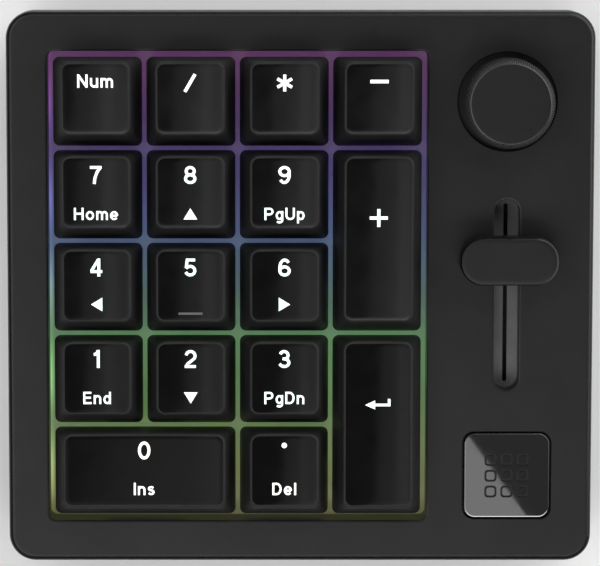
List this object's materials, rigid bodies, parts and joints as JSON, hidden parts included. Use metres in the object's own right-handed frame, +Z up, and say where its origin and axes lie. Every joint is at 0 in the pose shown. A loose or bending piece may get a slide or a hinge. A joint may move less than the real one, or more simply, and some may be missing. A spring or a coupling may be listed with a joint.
{
  "type": "numeric keypad",
  "caption": "Wedge-shaped mechanical numeric keypad with sprung keys in a square well, a knurled turning and pressing knob, a linear slider and a gloss badge plate.",
  "frame": {"origin": "centre of the footprint, on the surface that the rubber feet stand on", "axes": "+X to the typist's right, +Y away from the typist (towards the rear edge), +Z up"},
  "size_m": [0.1202, 0.1136, 0.0417],
  "materials": {
    "case_aluminium": "fine bead-blasted charcoal anodising",
    "case_plastic": "matte black moulding",
    "keycap_plastic": "satin black with light-passing legends",
    "knob_aluminium": "bead-blasted charcoal anodising with a bright chamfer",
    "badge_gloss": "polished",
    "switch_plastic": "milky moulding",
    "plate_paint": "white powder coat",
    "board_laminate": "solder mask over glass laminate",
    "steel": "plated steel",
    "rubber": "matte",
    "battery_wrap": "film wrap"
  },
  "bodies": {
    "chassis": {"top_case": "case_aluminium", "bottom_case": "case_plastic", "switch_plate": "plate_paint", "circuit_board": "board_laminate", "battery_pack": "battery_wrap", "usb_c_socket": "steel", "encoder_body": "steel", "slide_potentiometer": "steel", "badge": "badge_gloss", "switch_num": "switch_plastic", "switch_divide": "switch_plastic", "switch_multiply": "switch_plastic", "switch_minus": "switch_plastic", "switch_7": "switch_plastic", "switch_8": "switch_plastic", "switch_9": "switch_plastic", "switch_plus": "switch_plastic", "switch_4": "switch_plastic", "switch_5": "switch_plastic", "switch_6": "switch_plastic", "switch_1": "switch_plastic", "switch_2": "switch_plastic", "switch_3": "switch_plastic", "switch_enter": "switch_plastic", "switch_0": "switch_plastic", "switch_decimal": "switch_plastic", "stabiliser_plus": "switch_plastic", "stabiliser_enter": "switch_plastic", "stabiliser_0": "switch_plastic", "foot_front_left": "rubber", "foot_front_right": "rubber", "foot_rear_left": "rubber", "foot_rear_right": "rubber", "case_screw_front_left": "steel", "case_screw_front_right": "steel", "case_screw_rear_left": "steel", "case_screw_rear_right": "steel"},
    "key_num": {"keycap_num": "keycap_plastic"},
    "key_divide": {"keycap_divide": "keycap_plastic"},
    "key_multiply": {"keycap_multiply": "keycap_plastic"},
    "key_minus": {"keycap_minus": "keycap_plastic"},
    "key_7": {"keycap_7": "keycap_plastic"},
    "key_8": {"keycap_8": "keycap_plastic"},
    "key_9": {"keycap_9": "keycap_plastic"},
    "key_plus": {"keycap_plus": "keycap_plastic"},
    "key_4": {"keycap_4": "keycap_plastic"},
    "key_5": {"keycap_5": "keycap_plastic"},
    "key_6": {"keycap_6": "keycap_plastic"},
    "key_1": {"keycap_1": "keycap_plastic"},
    "key_2": {"keycap_2": "keycap_plastic"},
    "key_3": {"keycap_3": "keycap_plastic"},
    "key_enter": {"keycap_enter": "keycap_plastic"},
    "key_0": {"keycap_0": "keycap_plastic"},
    "key_decimal": {"keycap_decimal": "keycap_plastic"},
    "encoder_rotor": {"encoder_rotor": "switch_plastic"},
    "knob": {"knob": "knob_aluminium", "encoder_shaft": "steel"},
    "slider": {"slider_cap": "knob_aluminium", "slider_lever": "steel"},
    "mode_switch": {"mode_switch_nub": "switch_plastic"}
  },
  "joints": [
    {"name": "press_num", "type": "slide", "parent": "chassis", "child": "key_num", "axis": [0, 0.1132, -0.9936], "range_m": [0, 0.004], "stiffness_N_per_m": 75, "springref_m": -0.004},
    {"name": "press_divide", "type": "slide", "parent": "chassis", "child": "key_divide", "axis": [0, 0.1132, -0.9936], "range_m": [0, 0.004], "stiffness_N_per_m": 75, "springref_m": -0.004},
    {"name": "press_multiply", "type": "slide", "parent": "chassis", "child": "key_multiply", "axis": [0, 0.1132, -0.9936], "range_m": [0, 0.004], "stiffness_N_per_m": 75, "springref_m": -0.004},
    {"name": "press_minus", "type": "slide", "parent": "chassis", "child": "key_minus", "axis": [0, 0.1132, -0.9936], "range_m": [0, 0.004], "stiffness_N_per_m": 75, "springref_m": -0.004},
    {"name": "press_7", "type": "slide", "parent": "chassis", "child": "key_7", "axis": [0, 0.1132, -0.9936], "range_m": [0, 0.004], "stiffness_N_per_m": 75, "springref_m": -0.004},
    {"name": "press_8", "type": "slide", "parent": "chassis", "child": "key_8", "axis": [0, 0.1132, -0.9936], "range_m": [0, 0.004], "stiffness_N_per_m": 75, "springref_m": -0.004},
    {"name": "press_9", "type": "slide", "parent": "chassis", "child": "key_9", "axis": [0, 0.1132, -0.9936], "range_m": [0, 0.004], "stiffness_N_per_m": 75, "springref_m": -0.004},
    {"name": "press_plus", "type": "slide", "parent": "chassis", "child": "key_plus", "axis": [0, 0.1132, -0.9936], "range_m": [0, 0.004], "stiffness_N_per_m": 75, "springref_m": -0.004},
    {"name": "press_4", "type": "slide", "parent": "chassis", "child": "key_4", "axis": [0, 0.1132, -0.9936], "range_m": [0, 0.004], "stiffness_N_per_m": 75, "springref_m": -0.004},
    {"name": "press_5", "type": "slide", "parent": "chassis", "child": "key_5", "axis": [0, 0.1132, -0.9936], "range_m": [0, 0.004], "stiffness_N_per_m": 75, "springref_m": -0.004},
    {"name": "press_6", "type": "slide", "parent": "chassis", "child": "key_6", "axis": [0, 0.1132, -0.9936], "range_m": [0, 0.004], "stiffness_N_per_m": 75, "springref_m": -0.004},
    {"name": "press_1", "type": "slide", "parent": "chassis", "child": "key_1", "axis": [0, 0.1132, -0.9936], "range_m": [0, 0.004], "stiffness_N_per_m": 75, "springref_m": -0.004},
    {"name": "press_2", "type": "slide", "parent": "chassis", "child": "key_2", "axis": [0, 0.1132, -0.9936], "range_m": [0, 0.004], "stiffness_N_per_m": 75, "springref_m": -0.004},
    {"name": "press_3", "type": "slide", "parent": "chassis", "child": "key_3", "axis": [0, 0.1132, -0.9936], "range_m": [0, 0.004], "stiffness_N_per_m": 75, "springref_m": -0.004},
    {"name": "press_enter", "type": "slide", "parent": "chassis", "child": "key_enter", "axis": [0, 0.1132, -0.9936], "range_m": [0, 0.004], "stiffness_N_per_m": 75, "springref_m": -0.004},
    {"name": "press_0", "type": "slide", "parent": "chassis", "child": "key_0", "axis": [0, 0.1132, -0.9936], "range_m": [0, 0.004], "stiffness_N_per_m": 75, "springref_m": -0.004},
    {"name": "press_decimal", "type": "slide", "parent": "chassis", "child": "key_decimal", "axis": [0, 0.1132, -0.9936], "range_m": [0, 0.004], "stiffness_N_per_m": 75, "springref_m": -0.004},
    {"name": "knob_turn", "type": "hinge", "parent": "chassis", "child": "encoder_rotor", "pos_m": [0.0422, 0.03754, 0.03037], "axis": [0, -0.1132, 0.9936], "continuous": true},
    {"name": "knob_press", "type": "slide", "parent": "encoder_rotor", "child": "knob", "axis": [0, 0.1132, -0.9936], "range_m": [0, 0.0005], "stiffness_N_per_m": 2000, "springref_m": -0.0005},
    {"name": "slider_travel", "type": "slide", "parent": "chassis", "child": "slider", "axis": [0, 0.9936, 0.1132], "range_m": [-0.0227, 0.0073]},
    {"name": "mode_switch_slide", "type": "slide", "parent": "chassis", "child": "mode_switch", "axis": [1, 0, 0], "range_m": [-0.002, 0.002]}
  ]
}
